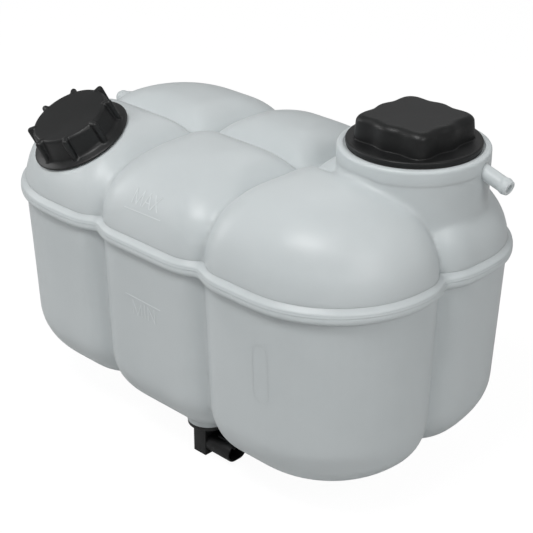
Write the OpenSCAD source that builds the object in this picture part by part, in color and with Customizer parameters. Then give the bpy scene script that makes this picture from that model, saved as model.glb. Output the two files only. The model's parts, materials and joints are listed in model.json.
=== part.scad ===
// Coolant expansion tank of a heavy vehicle: six blended chambers in two welded
// halves, a lobed valve cap, a ribbed filler cap and a level sensor underneath.
// X is along the three chambers, Y across the two rows, Z is up. The origin is the
// centre of the four mounting bosses, at their faces under the tank.

/* [Tank] */
// overall length of the chambers, without the weld bead
tank_l = 414; // [360:1:480]
// overall depth of the chambers
tank_d = 238; // [216:1:280]
// width of the middle chambers between their grooves
mid_w = 118; // [96:1:140]
// height of the middle chambers above the weld line
dome_h = 66; // [58:1:80]
// how much each column of chambers is higher than the one to its left
dome_step = 2.5; // [0:0.5:4]
// depth of the lower half below the weld line
base_h = 164; // [140:1:200]
// wall thickness of both halves
wall = 3.5; // [2.5:0.1:4.5]
// plan radius of the tank's four outer corners
end_r = 86; // [50:1:90]
// plan radius beside each groove
groove_r = 33; // [24:1:36]
// how far neighbouring chambers run into each other
lap = 8; // [6:0.5:10]
// how far the weld bead stands out
bead_out = 4.5; // [3:0.5:6]
// height of the bead on each half
bead_h = 5; // [4:0.5:7]
// how much lower the back left crest is than the front one
back_low = 4; // [0:0.5:6]
// how much deeper each column is than the one on its left
base_step = 2.8; // [0:0.1:2.9]

/* [Valve neck] */
// distance of the neck's centre from the right end
neck_in = 69; // [66:1:76]
// distance of the neck's centre behind the middle
neck_back = 36; // [20:1:44]
// outer radius of the neck
neck_r = 58.5; // [54:0.5:60]
// height of the neck's rim above the weld line
neck_top = 84; // [78:1:92]
// radius of the bore that takes the cap's skirt
skirt_bore_r = 47; // [44:0.5:48]
// lift of the cap for each turn
valve_lead = 8; // [6:1:12]

/* [Valve cap] */
// radius of the cap's flange
flange_r = 52; // [49:0.5:52.5]
// width of the lobed grip across its sides
grip_w = 74; // [68:1:76]
// height of the grip above the flange
grip_h = 18; // [14:0.5:26]

/* [Filler] */
// lean of the filler towards the front, in degrees
filler_lean = 27; // [15:1:32]
// turn of the lean towards the left end, in degrees
filler_turn = -13; // [-20:1:0]
// radius of the ribbed cap's thin flange
filler_flange_r = 42.3; // [40:0.1:44]
// radius of the ribbed cap at its flat top
filler_top_r = 32.8; // [32:0.1:36]
// height of the ribbed cap above its flange
filler_cap_h = 22; // [21:0.5:26]
// outer radius of the filler neck
filler_neck_r = 29.5; // [28:0.1:30]

/* [Pipes] */
// outer radius of the two small hose nipples
nipple_r = 6; // [5:0.1:7]
// bore radius of the nipples
nipple_bore_r = 3.2; // [2.5:0.1:4]
// outer radius of the outlet pipe
outlet_r = 10; // [8:0.5:12]
// bore radius of the outlet pipe
outlet_bore_r = 7.5; // [6:0.5:9]
// length of the outlet pipe beyond the left end
outlet_l = 32; // [26:1:40]

/* [Sensor] */
// distance of the sensor's axis to the right of the middle
sensor_x = 25; // [10:1:34]
// distance of the sensor's axis in front of the middle
sensor_y = -75; // [-84:1:-60]
// radius of the sensor's foot
foot_r = 17.5; // [17:0.5:20]
// height that the float can rise
float_rise = 45; // [30:1:60]

/* [Mounting] */
// spacing of the mounting bosses along the tank
boss_sx = 240; // [220:1:260]
// spacing of the mounting bosses across the tank
boss_sy = 100; // [80:1:110]
// core radius of the threaded inserts
insert_core_r = 3.4; // [2.5:0.1:4.2]

/* [Hidden] */
$fn = 72;
eps = 0.02;
boss_proud = 3;
seam_z = base_h + boss_proud;
overall_l = tank_l + 2 * bead_out;
overall_d = tank_d + 2 * bead_out;
// plan depth of the rounding over the ends, over the long sides, and beside a groove
round_x = 85;
round_y = 80;
round_in_x = 48;
round_in_y = 40;
round_in_h = 50;
round_pow = 2.3;
cross_r = 14;
// the grooves of the two rows and of the middle column miss each other by this much
groove_step = 2.5;
draft = 0.035;
foot_rounds = [67, 59, 56];
back_up = 4;
foot_round_h = 50;
foot_round_in = 30;

neck_x = tank_l / 2 - neck_in;
neck_y = neck_back;
neck_z = seam_z + neck_top;
// levels inside the valve neck, down from its rim
ledge_z = -1;
recess_r = 53.3;
neck_wall = 4;
skirt_l = 29;
seat_r = 39.5;
seat_top_z = -36;
seat_low_z = -47;

gasket_t = 1.5;
flange_t = 4.5;
flange_z = ledge_z + gasket_t;
grip_z = flange_z + flange_t;
skirt_r = skirt_bore_r - 0.6;
skirt_in_r = skirt_r - 3.4;
insert_flange_r = skirt_in_r - 0.4;
insert_top_z = -20.5;
insert_low_z = -45;
insert_r = seat_r - 0.6;
insert_in_r = insert_r - 4.4;
valve_seat_z = -42;
seal_t = 1.2;
plate_t = 2.5;
plate_r = 16;
plate_z = valve_seat_z + seal_t;
plate_top_z = plate_z + plate_t;
retainer_t = 2.5;
retainer_z = -24.5;
valve_spring_r = 13;
valve_spring_wire_r = 0.8;
vac_stem_r = 2;
vac_disc_r = 8;
vac_spring_r = 3.6;
vac_spring_wire_r = 0.4;
vac_head_z = -30.5;

filler_x = -tank_l / 2 + 85;
filler_y = -tank_d / 2 + 42.5;
filler_z = seam_z + 50;
filler_rim_z = 15;
filler_bore_r = filler_neck_r - 4;
filler_cap_in_r = filler_neck_r + 1.5;

sensor_face_z = boss_proud + 1;
sensor_boss_r = foot_r + 2;
sensor_bore_r = 14.5;
foot_t = 4;
stem_r = 6;
stem_base_r = 8;
sensor_boss_h = 21;
stem_base_z = sensor_face_z + sensor_boss_h + 4.5;
float_r = 16;
float_h = 22;
float_z = stem_base_z + 0.2;
clip_z = float_z + float_h + float_rise + 0.3;
stem_top_z = clip_z + 6;
block_h = 21;
block_z = sensor_face_z - foot_t - block_h;

nipple_l_in = 14;
nipple_l_z = seam_z + 28.7;
nipple_l_y = 60;
nipple_l_lean = 12;
nipple_r_z = neck_z - 9;
nipple_r_y = neck_y + 14;
nipple_r_lean = 16.5;
outlet_y = 60;
outlet_z = boss_proud + 34;

left_nipple_l = 42;
right_nipple_l = 33;

insert_out_r = 6.4;
insert_l = 16;
boss_r = 11;

// Chamber layout: column 0 to 2 from left to right, row 0 in front and row 1 behind.
function is_out(c, r, s) = (s == 0 && c == 0) || (s == 1 && c == 2) || (s == 2 && r == 0) || (s == 3 && r == 1);
function x_step(r) = r == 0 ? 0 : groove_step;
function y_step(c) = c == 1 ? groove_step : 0;
function side_x0(c, r) = c == 0 ? -tank_l / 2 : (c == 1 ? -mid_w / 2 : mid_w / 2) - lap + x_step(r);
function side_x1(c, r) = c == 2 ? tank_l / 2 : (c == 0 ? -mid_w / 2 : mid_w / 2) + lap + x_step(r);
function side_y0(c, r) = r == 0 ? -tank_d / 2 : -lap + y_step(c);
function side_y1(c, r) = r == 0 ? lap + y_step(c) : tank_d / 2;
function out_at(c, r, q) = (is_out(c, r, (q == 0 || q == 3) ? 0 : 1) ? 1 : 0) + (is_out(c, r, q < 2 ? 2 : 3) ? 1 : 0);
function end_of(c, r) = end_r + (c == 0 && r == 0 ? 6 : (c == 2 && r == 1 ? -12 : 0));
function corner(c, r, q) = out_at(c, r, q) == 2 ? end_of(c, r) : (out_at(c, r, q) == 1 ? groove_r : cross_r);
function crest_h(c, r) = dome_h + dome_step * (c - 1) - (r == 1 ? back_low * (2 - c) / 2 : 0);
function depth(c, r) = base_h + base_step * (c - 1) - (c == 2 && r == 1 ? back_up : 0);
function foot_round(c) = foot_rounds[c];

// One level of a chamber: its sides moved in by ins, by t for the wall, m steps a corner.
function level(c, r, z, ins, t, m) =
  let (
    x0 = side_x0(c, r) + t + ins[0], x1 = side_x1(c, r) - t - ins[1],
    y0 = side_y0(c, r) + t + ins[2], y1 = side_y1(c, r) - t - ins[3],
    w = x1 - x0, d = y1 - y0,
    a = corner(c, r, 0) - t, b = corner(c, r, 1) - t,
    e = corner(c, r, 2) - t, g = corner(c, r, 3) - t,
    k = min(1, min(w / (a + b), w / (e + g)), min(d / (b + e), d / (a + g))) * 0.995,
    rr = [a * k, b * k, e * k, g * k]
  )
  [for (q = [0:3]) for (j = [0:m])
    let (
      f = 180 + 90 * q + 90 * j / m,
      cx = (q == 0 || q == 3) ? x0 + rr[q] : x1 - rr[q],
      cy = q < 2 ? y0 + rr[q] : y1 - rr[q]
    )
    [cx + rr[q] * cos(f), cy + rr[q] * sin(f), z]];

function over(u, a) = a * (1 - pow(1 - pow(min(u, 1), round_pow), 1 / round_pow));
function quarter(u, a) = a * (1 - sqrt(1 - pow(max(0, min(u, 1)), 2)));
function dome_ins(c, r, z, h) = [for (s = [0:3])
  is_out(c, r, s) ? over(z / h, s < 2 ? round_x : round_y)
    : quarter((z - h + round_in_h) / round_in_h, s < 2 ? round_in_x : round_in_y)];
function base_ins(c, r, z, h) =
  let (straight = h - foot_round_h, u = max(0, (z - straight) / foot_round_h))
  [for (s = [0:3])
    is_out(c, r, s) ? draft * min(z, straight) + quarter(u, foot_round(c))
      : quarter(u, foot_round_in)];

function dome_levels(c, r, t, m, n) =
  let (h = crest_h(c, r) - t)
  concat(t > 0 ? [level(c, r, -1, [0, 0, 0, 0], t, m)] : [],
    [for (j = [0:n]) let (z = h * sin(90 * j / n)) level(c, r, z, dome_ins(c, r, z, h), t, m)]);
function base_levels(c, r, t, m, n) =
  let (h = depth(c, r) - t)
  concat([for (j = [0:n]) let (z = h - foot_round_h + foot_round_h * sin(90 * (n - j) / n))
      level(c, r, -z, base_ins(c, r, z, h), t, m)],
    [level(c, r, t > 0 ? 1 : 0, [0, 0, 0, 0], t, m)]);

// A closed solid through a list of rings with the same number of points, from low to high.
module loft(rings) {
  n = len(rings[0]);
  k = len(rings);
  sides = [for (i = [0:k - 2]) for (j = [0:n - 1]) let (p = (j + 1) % n)
    each [[i * n + j, (i + 1) * n + j, (i + 1) * n + p], [i * n + j, (i + 1) * n + p, i * n + p]]];
  low = [[for (j = [0:n - 1]) j]];
  high = [[for (j = [0:n - 1]) (k - 1) * n + n - 1 - j]];
  polyhedron(points = [for (q = rings) each q], faces = concat(sides, low, high), convexity = 6);
}

module domes(t, m, n) {
  for (c = [0:2]) {
    for (r = [0:1]) {
      loft(dome_levels(c, r, t, m, n));
    }
  }
}

module bases(t, m, n) {
  for (c = [0:2]) {
    for (r = [0:1]) {
      loft(base_levels(c, r, t, m, n));
    }
  }
}

module plan(t) {
  for (c = [0:2]) {
    for (r = [0:1]) {
      polygon([for (p = level(c, r, 0, [0, 0, 0, 0], t, 6)) [p[0], p[1]]]);
    }
  }
}

module bead_ring(z) {
  translate([0, 0, z])
    linear_extrude(height = bead_h)
      offset(delta = bead_out, $fn = 24)
        plan(0);
}

module filler_frame() {
  translate([filler_x, filler_y, filler_z])
    rotate([0, 0, filler_turn])
      rotate([filler_lean, 0, 0])
        children();
}

module neck_frame() {
  translate([neck_x, neck_y, neck_z])
    children();
}

module sensor_frame() {
  translate([sensor_x, sensor_y, 0])
    children();
}

// A hose end along +X from the origin: bored through, with a retaining bead.
module hose_end(l, r, bead) {
  rotate([0, 90, 0])
    cylinder(r = r, h = l);
  translate([l - 6, 0, 0])
    rotate([0, 90, 0])
      cylinder(r1 = r, r2 = r + bead, h = 2);
  translate([l - 4, 0, 0])
    rotate([0, 90, 0])
      cylinder(r1 = r + bead, r2 = r - 0.3, h = 4);
}

module left_nipple_place() {
  translate([-tank_l / 2 + nipple_l_in, nipple_l_y, nipple_l_z])
    rotate([0, 180 - nipple_l_lean, 0])
      children();
}

module right_nipple_place() {
  translate([neck_x + skirt_bore_r + 1, nipple_r_y, nipple_r_z])
    rotate([0, nipple_r_lean, 0])
      children();
}

module upper_mesh() {
  resize([overall_l, overall_d, 0])
    difference() {
      union() {
        translate([0, 0, seam_z])
          domes(0, 5, 7);
        bead_ring(seam_z);
        translate([neck_x, neck_y, seam_z + 26])
          cylinder(r = neck_r - 0.2, h = neck_top - 28, $fn = 60);
        filler_frame() {
          translate([0, 0, -26])
            cylinder(r1 = 52, r2 = 38, h = 21, $fn = 48);
          translate([0, 0, -6])
            cylinder(r1 = 38.7, r2 = filler_neck_r + 1, h = 3.5, $fn = 48);
        }
      }
      difference() {
        translate([0, 0, seam_z])
          domes(wall, 4, 5);
        filler_frame()
          translate([0, 0, -8])
            cylinder(r = filler_flange_r + 4, h = 30, $fn = 48);
      }
      translate([neck_x, neck_y, seam_z + 20])
        cylinder(r = neck_r - neck_wall, h = neck_top, $fn = 48);
      filler_frame() {
        translate([0, 0, -38])
          cylinder(r1 = 54, r2 = filler_bore_r + 1, h = 32, $fn = 36);
        translate([0, 0, -7])
          cylinder(r = filler_bore_r - 0.5, h = 10, $fn = 36);
        translate([0, 0, -1.4])
          cylinder(r = filler_flange_r + 1.2, h = 40, $fn = 60);
      }
    }
}

// Turned-in rim of the valve neck: splash wall, gasket ledge, threaded tube and seal seat.
module neck_rim() {
  neck_frame()
    rotate_extrude()
      polygon([[neck_r - neck_wall - 0.5, -11], [neck_r, -11], [neck_r, -3.5], [neck_r - 0.7, -1.6],
        [neck_r - 2, -0.4], [neck_r - 3.4, 0], [recess_r + 0.6, -0.5], [recess_r, -1.4],
        [recess_r, ledge_z], [skirt_bore_r, ledge_z], [skirt_bore_r, seat_top_z + 4],
        [seat_r, seat_top_z], [seat_r, seat_low_z], [seat_r + neck_wall, seat_low_z],
        [seat_r + neck_wall, seat_top_z - 2], [skirt_bore_r + neck_wall, seat_top_z + 3],
        [skirt_bore_r + neck_wall, ledge_z - 3.5], [neck_r - neck_wall - 0.5, ledge_z - 3.5]]);
}

module filler_rim() {
  filler_frame()
    rotate_extrude()
      polygon([[filler_bore_r, -7], [filler_neck_r, -7], [filler_neck_r, filler_rim_z - 1],
        [filler_neck_r - 1, filler_rim_z], [filler_bore_r + 0.6, filler_rim_z],
        [filler_bore_r, filler_rim_z - 0.6]]);
}

// Each neck carries two turns of a low rounded thread, drawn here as plain rings.
module upper_shell() {
  color("WhiteSmoke")
    difference() {
      union() {
        upper_mesh();
        neck_rim();
        filler_rim();
        left_nipple_place()
          hose_end(left_nipple_l, nipple_r, 0.6);
        right_nipple_place()
          hose_end(right_nipple_l, nipple_r, 0.6);
      }
      filler_frame()
        translate([0, 0, -8])
          cylinder(r = filler_bore_r, h = 8);
      left_nipple_place()
        rotate([0, 90, 0])
          translate([0, 0, -6])
            cylinder(r = nipple_bore_r, h = left_nipple_l + 8);
      right_nipple_place()
        rotate([0, 90, 0])
          translate([0, 0, -6])
            cylinder(r = nipple_bore_r, h = right_nipple_l + 8);
    }
}

module lower_mesh() {
  resize([overall_l, overall_d, 0])
    difference() {
      union() {
        translate([0, 0, seam_z])
          bases(0, 5, 5);
        bead_ring(seam_z - bead_h);
      }
      translate([0, 0, seam_z])
        bases(wall, 4, 4);
    }
}

module at_bosses() {
  for (x = [-1, 1]) {
    for (y = [-1, 1]) {
      translate([x * boss_sx / 2, y * boss_sy / 2, 0])
        children();
    }
  }
}

module lower_shell() {
  color("WhiteSmoke")
    difference() {
      union() {
        lower_mesh();
        at_bosses()
          cylinder(r = boss_r, h = insert_l + 8);
        sensor_frame()
          translate([0, 0, sensor_face_z])
            cylinder(r = sensor_boss_r, h = sensor_boss_h);
        translate([-tank_l / 2 + 14, outlet_y, outlet_z])
          rotate([0, 0, 180])
            hose_end(outlet_l + 14, outlet_r, 0.9);
      }
      at_bosses()
        translate([0, 0, -1])
          cylinder(r = insert_out_r, h = insert_l + 1.5);
      sensor_frame()
        translate([0, 0, sensor_face_z - 1])
          cylinder(r = sensor_bore_r, h = sensor_boss_h + 2);
      translate([-tank_l / 2 - outlet_l - 1, outlet_y, outlet_z])
        rotate([0, 90, 0])
          cylinder(r = outlet_bore_r, h = outlet_l + 18);
    }
}

// Four brass inserts, each with a knurled-size body and a threaded core.
module mount_inserts() {
  color("Goldenrod")
    at_bosses()
      difference() {
        union() {
          cylinder(r = insert_out_r, h = insert_l * 0.4);
          translate([0, 0, insert_l * 0.4])
            cylinder(r = insert_out_r - 0.8, h = insert_l * 0.2);
          translate([0, 0, insert_l * 0.6])
            cylinder(r = insert_out_r, h = insert_l * 0.4);
        }
        translate([0, 0, -1])
          cylinder(r = insert_core_r, h = insert_l + 2);
      }
}

// Outline of the grip: a rounded square whose sides wave in and out.
function grip_r(f, s) =
  let (p = 5, a = pow(abs(cos(f)), p), b = pow(abs(sin(f)), p))
  s * pow(a + b, -1 / p) * 0.965 + 1.3 * cos(8 * f) - 0.5;
function grip_ring(s, z) = [for (i = [0:63]) let (f = i * 360 / 64) [grip_r(f, s) * cos(f), grip_r(f, s) * sin(f), z]];

module valve_cap() {
  half = grip_w / 2;
  top_z = grip_z + grip_h;
  color([0.12, 0.12, 0.13])
    neck_frame()
      difference() {
        union() {
          translate([0, 0, flange_z])
            cylinder(r = flange_r, h = flange_t - 1);
          translate([0, 0, grip_z - 1])
            cylinder(r1 = flange_r, r2 = flange_r - 1, h = 1);
          translate([0, 0, ledge_z + gasket_t - skirt_l + 2])
            cylinder(r = skirt_r, h = skirt_l);
          loft([grip_ring(half + 1.5, grip_z - 1.5), grip_ring(half + 1, grip_z + 1.5),
            grip_ring(half, grip_z + 3), grip_ring(half - 0.6, top_z - 4.5), grip_ring(half - 1.2, top_z - 2),
            grip_ring(half - 2.8, top_z - 0.6), grip_ring(half - 5, top_z)]);
        }
        translate([0, 0, ledge_z + gasket_t - skirt_l])
          cylinder(r = skirt_in_r - 1.2, h = skirt_l);
        translate([0, 0, retainer_z + 0.3])
          cylinder(r = skirt_in_r, h = flange_z - retainer_z - 0.3);
        translate([0, 0, flange_z - 1])
          cylinder(r = half - 5, h = grip_h + 1);
        for (i = [0:3]) {
          rotate([0, 0, 45 + 90 * i])
            translate([skirt_in_r - 3, 0, -13])
              rotate([0, 90, 0])
                cylinder(r = 2, h = 8, $fn = 24);
        }
      }
}

module cap_gasket() {
  color([0.09, 0.09, 0.09])
    neck_frame()
      translate([0, 0, ledge_z])
        difference() {
          cylinder(r = flange_r - 0.6, h = gasket_t);
          translate([0, 0, -1])
            cylinder(r = skirt_r + 0.9, h = gasket_t + 2);
        }
}

module valve_insert() {
  groove_in = insert_r - 2.4;
  color([0.2, 0.2, 0.22])
    neck_frame()
      difference() {
        rotate_extrude()
          polygon([[12, insert_low_z], [insert_r - 1, insert_low_z], [insert_r, insert_low_z + 1],
            [insert_r, -43], [groove_in, -43], [groove_in, -39.8], [insert_r, -39.8], [insert_r, -33],
            [insert_r - 1.5, -31], [insert_r - 1.5, retainer_z + 0.6], [insert_flange_r, retainer_z + 0.6],
            [insert_flange_r, insert_top_z], [insert_in_r, insert_top_z], [insert_in_r, retainer_z + retainer_t],
            [insert_in_r, retainer_z], [insert_in_r - 2, retainer_z], [insert_in_r - 2, -36],
            [insert_in_r - 4, -41], [17.5, -42.8], [16.5, -42.8], [16.5, valve_seat_z], [12, valve_seat_z]]);
        for (i = [0:3]) {
          rotate([0, 0, 90 * i])
            translate([insert_in_r - 5, 0, -28])
              rotate([0, 90, 0])
                cylinder(r = 2, h = 12, $fn = 24);
        }
      }
}

module insert_o_ring() {
  color([0.07, 0.07, 0.07])
    neck_frame()
      translate([0, 0, -41.4])
        rotate_extrude()
          translate([insert_r - 0.95, 0])
            circle(r = 1.45, $fn = 24);
}

module spring_retainer() {
  color([0.2, 0.2, 0.22])
    neck_frame()
      translate([0, 0, retainer_z])
        difference() {
          cylinder(r = insert_in_r, h = retainer_t);
          for (i = [0:5]) {
            rotate([0, 0, 60 * i])
              translate([24, 0, -1])
                cylinder(r = 5, h = retainer_t + 2, $fn = 32);
          }
          translate([0, 0, -1])
            cylinder(r = 6, h = retainer_t + 2);
        }
}

// Round wire wound in a helix, with one flat turn at each end.
function wind(i, n, turns, lo, hi) =
  let (t = i / n * turns, f = min(max((t - 0.75) / (turns - 1.5), 0), 1))
  lo + (hi - lo) * f;
module coil(r, wire, z0, z1, turns, step, sides) {
  n = turns * step;
  lo = z0 + wire;
  hi = z1 - wire;
  rings = [for (i = [0:n]) let (a = i * 360 / step, z = wind(i, n, turns, lo, hi) + 0.0001 * i)
    [for (k = [0:sides - 1]) let (b = k * 360 / sides, q = r + wire * cos(b))
      [q * cos(a), q * sin(a), z + wire * sin(b)]]];
  loft(rings);
}

module pressure_spring() {
  color("Silver")
    neck_frame()
      coil(valve_spring_r, valve_spring_wire_r, plate_top_z + 0.05, retainer_z - 0.05, 5, 20, 7);
}

module pressure_plate() {
  color("Gainsboro")
    neck_frame()
      difference() {
        union() {
          translate([0, 0, plate_z])
            cylinder(r = plate_r, h = plate_t - 1);
          translate([0, 0, plate_z])
            cylinder(r = valve_spring_r - 1.4, h = plate_t);
          translate([0, 0, plate_z])
            cylinder(r = 5.4, h = plate_t + 1);
        }
        translate([0, 0, plate_z - 1])
          cylinder(r = vac_stem_r + 0.3, h = plate_t + 4);
        for (i = [0:3]) {
          rotate([0, 0, 90 * i + 45])
            translate([6.6, 0, plate_z - 1])
              cylinder(r = 0.9, h = plate_t + 4, $fn = 20);
        }
      }
}

module pressure_seal() {
  color([0.08, 0.08, 0.08])
    neck_frame()
      translate([0, 0, valve_seat_z])
        difference() {
          cylinder(r = plate_r - 0.3, h = seal_t);
          translate([0, 0, -1])
            cylinder(r = 12.3, h = seal_t + 2);
        }
}

module vacuum_valve() {
  color("Goldenrod")
    neck_frame()
      rotate_extrude()
        polygon([[0, plate_z - 2], [vac_disc_r - 0.6, plate_z - 2], [vac_disc_r, plate_z - 1.4],
          [vac_disc_r, plate_z], [vac_stem_r, plate_z], [vac_stem_r, vac_head_z],
          [vac_stem_r + 2.4, vac_head_z], [vac_stem_r + 2.4, vac_head_z + 1], [vac_stem_r, vac_head_z + 1.8],
          [0, vac_head_z + 1.8]]);
}

module vacuum_spring() {
  color("Silver")
    neck_frame()
      coil(vac_spring_r, vac_spring_wire_r, plate_top_z + 1.05, vac_head_z - 0.05, 5, 14, 6);
}

module filler_cap() {
  color([0.12, 0.12, 0.13])
    filler_frame()
      difference() {
        union() {
          translate([0, 0, -1])
            cylinder(r1 = filler_flange_r, r2 = filler_flange_r - 0.6, h = 1.8);
          translate([0, 0, 0.8])
            cylinder(r1 = filler_flange_r - 0.6, r2 = filler_top_r + 2.6, h = 1.6);
          cylinder(r1 = filler_top_r + 2, r2 = filler_top_r, h = filler_cap_h - 2);
          translate([0, 0, filler_cap_h - 2])
            cylinder(r1 = filler_top_r, r2 = filler_top_r - 1.6, h = 2);
          for (i = [0:7]) {
            rotate([0, 0, 45 * i + 10]) {
              translate([filler_top_r - 4, -2.6, 0.5])
                cube([8.3, 5.2, filler_cap_h + 0.2]);
              translate([filler_top_r + 4.3, 0, 0.5])
                cylinder(r = 2.6, h = filler_cap_h + 0.2, $fn = 32);
            }
          }
        }
        translate([0, 0, -2])
          cylinder(r = filler_cap_in_r - 1, h = 20);
        translate([0, 0, -2])
          cylinder(r = filler_cap_in_r, h = 17.1);
        translate([0, 0, 16.3])
          cylinder(r = filler_cap_in_r, h = 2.9);
      }
}

module filler_insert() {
  plug_r = filler_bore_r - 0.7;
  color([0.2, 0.2, 0.22])
    filler_frame()
      rotate_extrude()
        polygon([[0, 3], [plug_r - 1, 3], [plug_r, 4], [plug_r, 6.4], [plug_r - 2, 6.4],
          [plug_r - 2, 9.4], [plug_r, 9.4], [plug_r, 16.5], [filler_cap_in_r - 0.5, 16.5],
          [filler_cap_in_r - 0.5, 18.4], [filler_cap_in_r - 1, 18.9], [plug_r - 4, 18.9],
          [plug_r - 4, 6], [0, 6]]);
}

module filler_gasket() {
  color([0.09, 0.09, 0.09])
    filler_frame()
      translate([0, 0, filler_rim_z])
        difference() {
          cylinder(r = filler_neck_r - 0.1, h = 1.5);
          translate([0, 0, -1])
            cylinder(r = filler_bore_r + 0.2, h = 4);
        }
}

module filler_o_ring() {
  color([0.07, 0.07, 0.07])
    filler_frame()
      translate([0, 0, 7.9])
        rotate_extrude()
          translate([filler_bore_r - 1.4, 0])
            circle(r = 1.3, $fn = 24);
}

// Oval outline of the plug shell, w wide and h high, across the X axis.
module oval(w, h, l) {
  rotate([90, 0, 90])
    linear_extrude(height = l) {
      translate([-(w - h) / 2, -h / 2])
        square([w - h, h]);
      for (s = [-1, 1]) {
        translate([s * (w - h) / 2, 0])
          circle(d = h, $fn = 40);
      }
    }
}

module sensor_body() {
  shell_z = block_z + 9;
  color([0.1, 0.1, 0.11])
    sensor_frame()
      difference() {
        union() {
          translate([0, 0, sensor_face_z - foot_t])
            cylinder(r = foot_r, h = foot_t);
          translate([-7, -11, block_z])
            cube([16, 22, block_h + 1]);
          translate([-7, -4, block_z + 2])
            translate([-1.5, 0, 0])
              cube([2, 8, 14]);
          translate([8, 0, shell_z])
            oval(21, 13, 25);
          translate([14, -3.5, shell_z + 6])
            cube([10, 7, 2.2]);
          translate([0, 0, sensor_face_z - 1])
            cylinder(r = stem_base_r, h = stem_base_z - sensor_face_z + 1);
          translate([0, 0, stem_base_z - 1])
            cylinder(r = stem_r, h = stem_top_z - stem_base_z);
          translate([0, 0, stem_top_z - 1])
            cylinder(r1 = stem_r, r2 = stem_r - 1.5, h = 1.5);
        }
        translate([16, 0, shell_z])
          oval(17.6, 9.6, 18);
        for (y = [-1, 1]) {
          translate([12, y * 3.2 - 1.1, block_z + 8.6])
            cube([5, 2.2, 0.8]);
        }
        translate([0, 0, sensor_face_z + 4])
          cylinder(r = 3.4, h = stem_top_z - sensor_face_z - 8, $fn = 40);
        translate([0, 0, clip_z])
          difference() {
            cylinder(r = stem_r + 1, h = 1.6);
            translate([0, 0, -1])
              cylinder(r = stem_r - 1, h = 4);
          }
      }
}

module sensor_pins() {
  color("Silver")
    sensor_frame()
      for (s = [-1, 1]) {
        translate([12, s * 3.2 - 1.1, block_z + 8.6])
          cube([15, 2.2, 0.8]);
      }
}

module sensor_grommet() {
  lip_z = sensor_face_z + sensor_boss_h;
  color([0.08, 0.08, 0.08])
    sensor_frame()
      rotate_extrude()
        polygon([[stem_base_r, sensor_face_z], [sensor_bore_r, sensor_face_z], [sensor_bore_r, lip_z], [sensor_bore_r + 2, lip_z],
          [sensor_bore_r + 2, lip_z + 1.4], [sensor_bore_r, lip_z + 3], [stem_base_r, lip_z + 3]]);
}

module float() {
  color("Ivory")
    sensor_frame()
      difference() {
        union() {
          translate([0, 0, float_z + 1.5])
            cylinder(r = float_r, h = float_h - 3);
          translate([0, 0, float_z])
            cylinder(r1 = float_r - 1.5, r2 = float_r, h = 1.5);
          translate([0, 0, float_z + float_h - 1.5])
            cylinder(r1 = float_r, r2 = float_r - 1.5, h = 1.5);
        }
        translate([0, 0, float_z - 1])
          cylinder(r = stem_r + 0.6, h = float_h + 2);
        translate([0, 0, float_z + 3])
          difference() {
            cylinder(r = 11, h = 9);
            translate([0, 0, -1])
              cylinder(r = 8.2, h = 11);
          }
      }
}

module float_magnet() {
  color([0.3, 0.3, 0.32])
    sensor_frame()
      translate([0, 0, float_z + 3])
        difference() {
          cylinder(r = 11, h = 9);
          translate([0, 0, -1])
            cylinder(r = 8.2, h = 11);
        }
}

// Spring steel clip in the stem's groove, which stops the float.
module float_clip() {
  color("Silver")
    sensor_frame()
      translate([0, 0, clip_z + 0.1])
        difference() {
          cylinder(r = stem_r + 3, h = 1.4);
          translate([0, 0, -1])
            cylinder(r = stem_r - 1, h = 4);
          translate([0, -2, -1])
            cube([stem_r + 4, 4, 4]);
        }
}

module reed_switch() {
  color("LightBlue")
    sensor_frame()
      translate([0, 0, sensor_face_z + 4]) {
        cylinder(r = 0.4, h = 8, $fn = 16);
        translate([0, 0, 7])
          cylinder(r = 1.6, h = 16, $fn = 32);
        translate([0, 0, 22])
          cylinder(r = 0.4, h = 8, $fn = 16);
      }
}

upper_shell();
lower_shell();
mount_inserts();
valve_cap();
cap_gasket();
valve_insert();
insert_o_ring();
spring_retainer();
pressure_spring();
pressure_plate();
pressure_seal();
vacuum_valve();
vacuum_spring();
filler_cap();
filler_insert();
filler_gasket();
filler_o_ring();
sensor_body();
sensor_pins();
sensor_grommet();
float();
float_magnet();
float_clip();
reed_switch();
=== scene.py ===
# Looks of a coolant expansion tank: moulded tank halves, two caps, level sensor, light and camera.
import bpy
import bmesh
import json
import math
from mathutils import Matrix, Vector
from mathutils.bvhtree import BVHTree


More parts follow.
